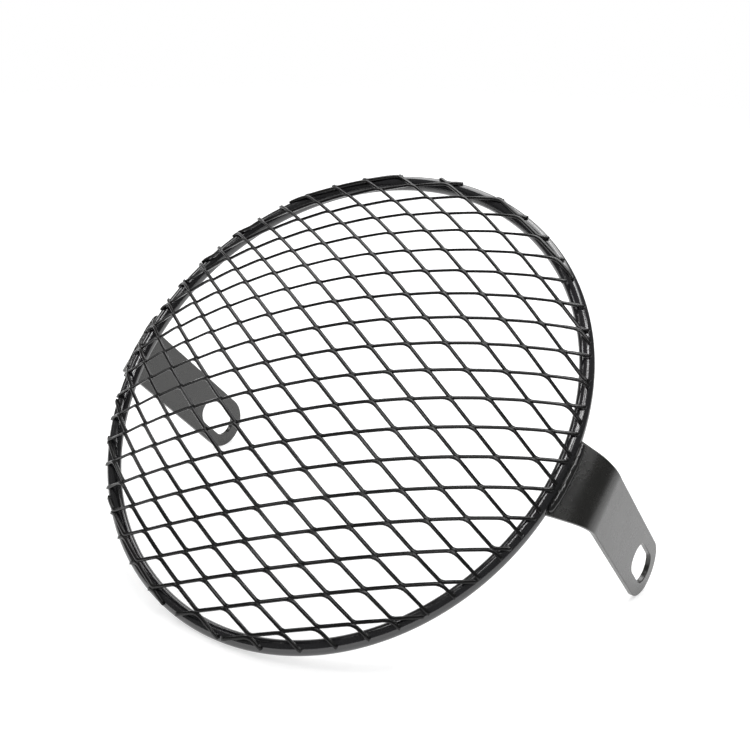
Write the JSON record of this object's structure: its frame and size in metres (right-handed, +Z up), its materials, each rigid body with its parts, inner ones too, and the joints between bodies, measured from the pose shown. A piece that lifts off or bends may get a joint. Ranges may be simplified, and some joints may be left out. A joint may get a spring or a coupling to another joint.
{
  "type": "headlight guard",
  "caption": "Round motorcycle headlight guard: a domed expanded-metal mesh welded over a rod hoop, with bent sheet brackets that reach back to bolt slots beside the lamp.",
  "frame": {"origin": "centre of the hoop, in the hoop's centre plane", "axes": "-Y the way the guard faces, which is the dome's way; +Z up as mounted; +X to the bracket on the right when seen from the front"},
  "size_m": [0.2176, 0.1183, 0.196],
  "materials": {
    "hoop_coat": "gloss black coat",
    "mesh_coat": "semi-gloss black coat",
    "bracket_coat": "satin black coat",
    "weld_coat": "gloss black coat over the weld bead"
  },
  "bodies": {
    "root": {"ring": "hoop_coat", "mesh": "mesh_coat", "bracket_left": "bracket_coat", "bracket_right": "bracket_coat", "weld_left": "weld_coat", "weld_right": "weld_coat"}
  },
  "joints": []
}
